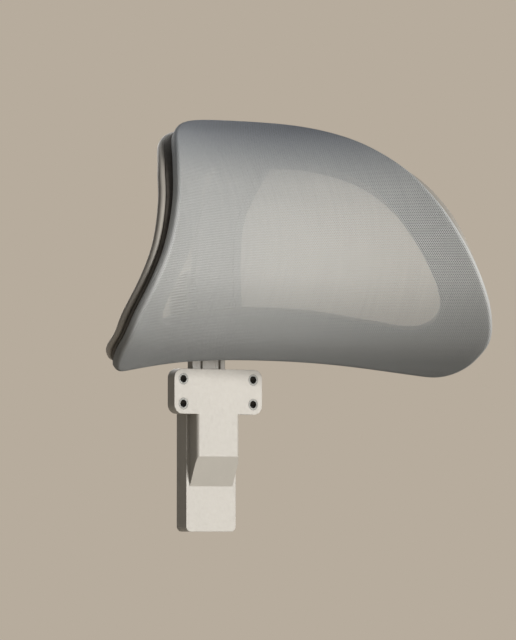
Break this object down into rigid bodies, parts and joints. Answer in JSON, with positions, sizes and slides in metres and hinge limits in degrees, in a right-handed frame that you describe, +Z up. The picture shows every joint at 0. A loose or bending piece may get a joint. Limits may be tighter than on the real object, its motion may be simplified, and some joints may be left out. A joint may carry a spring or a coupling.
{
  "type": "chair headrest attachment",
  "caption": "Saddle-shaped mesh headrest on a ring frame, with a friction tilt hinge and a notched height slide in a bolt-on bracket.",
  "frame": {"origin": "centre of the bracket's mounting face", "axes": "-Y towards the sitter and out of the mounting face, +Z up along the height slide, +X across the headrest"},
  "size_m": [0.3232, 0.167, 0.301],
  "materials": {
    "mesh": "knitted monofilament mesh, grey, open weave",
    "carrier_plastic": "moulded, fine texture",
    "edge_strip": "extruded strip, matte",
    "frame_plastic": "moulded, satin warm white",
    "bracket_plastic": "moulded, satin warm white",
    "stem_nylon": "glass-filled nylon, satin",
    "zinc_steel": "zinc plated",
    "bright_steel": "turned steel",
    "hinge_steel": "powder coat, fine",
    "spring_steel": "blued spring steel",
    "washer_polymer": "friction polymer, matte",
    "liner_polymer": "acetal, smooth",
    "bush_bronze": "sintered bronze"
  },
  "bodies": {
    "bracket": {"guide_housing": "bracket_plastic", "bolt_sleeves": "zinc_steel", "guide_liner_left": "liner_polymer", "guide_liner_right": "liner_polymer", "housing_back_cover": "bracket_plastic", "cover_screws": "zinc_steel", "stop_screw": "bright_steel", "detent_spring": "spring_steel", "spring_rivets": "zinc_steel"},
    "stem": {"stem": "stem_nylon", "pivot_bush": "bush_bronze"},
    "head": {"mesh_fabric": "mesh", "mesh_carrier_ring": "carrier_plastic", "edge_spline": "edge_strip", "rear_frame": "frame_plastic", "frame_screws": "zinc_steel", "support_bridge": "frame_plastic", "bridge_screws": "zinc_steel", "hinge_bracket": "hinge_steel", "hinge_bracket_screws": "zinc_steel", "hinge_cover": "frame_plastic", "pivot_pin": "bright_steel", "pivot_nut": "zinc_steel", "friction_washers": "washer_polymer", "spring_washers": "bright_steel"}
  },
  "joints": [
    {"name": "height_slide", "type": "slide", "parent": "bracket", "child": "stem", "axis": [0, 0, 1], "range_m": [0, 0.04], "deforming": ["detent_spring"]},
    {"name": "tilt", "type": "hinge", "parent": "stem", "child": "head", "pos_m": [0, 0.0185, 0.105], "axis": [1, 0, 0], "range_deg": [-25, 12]}
  ]
}
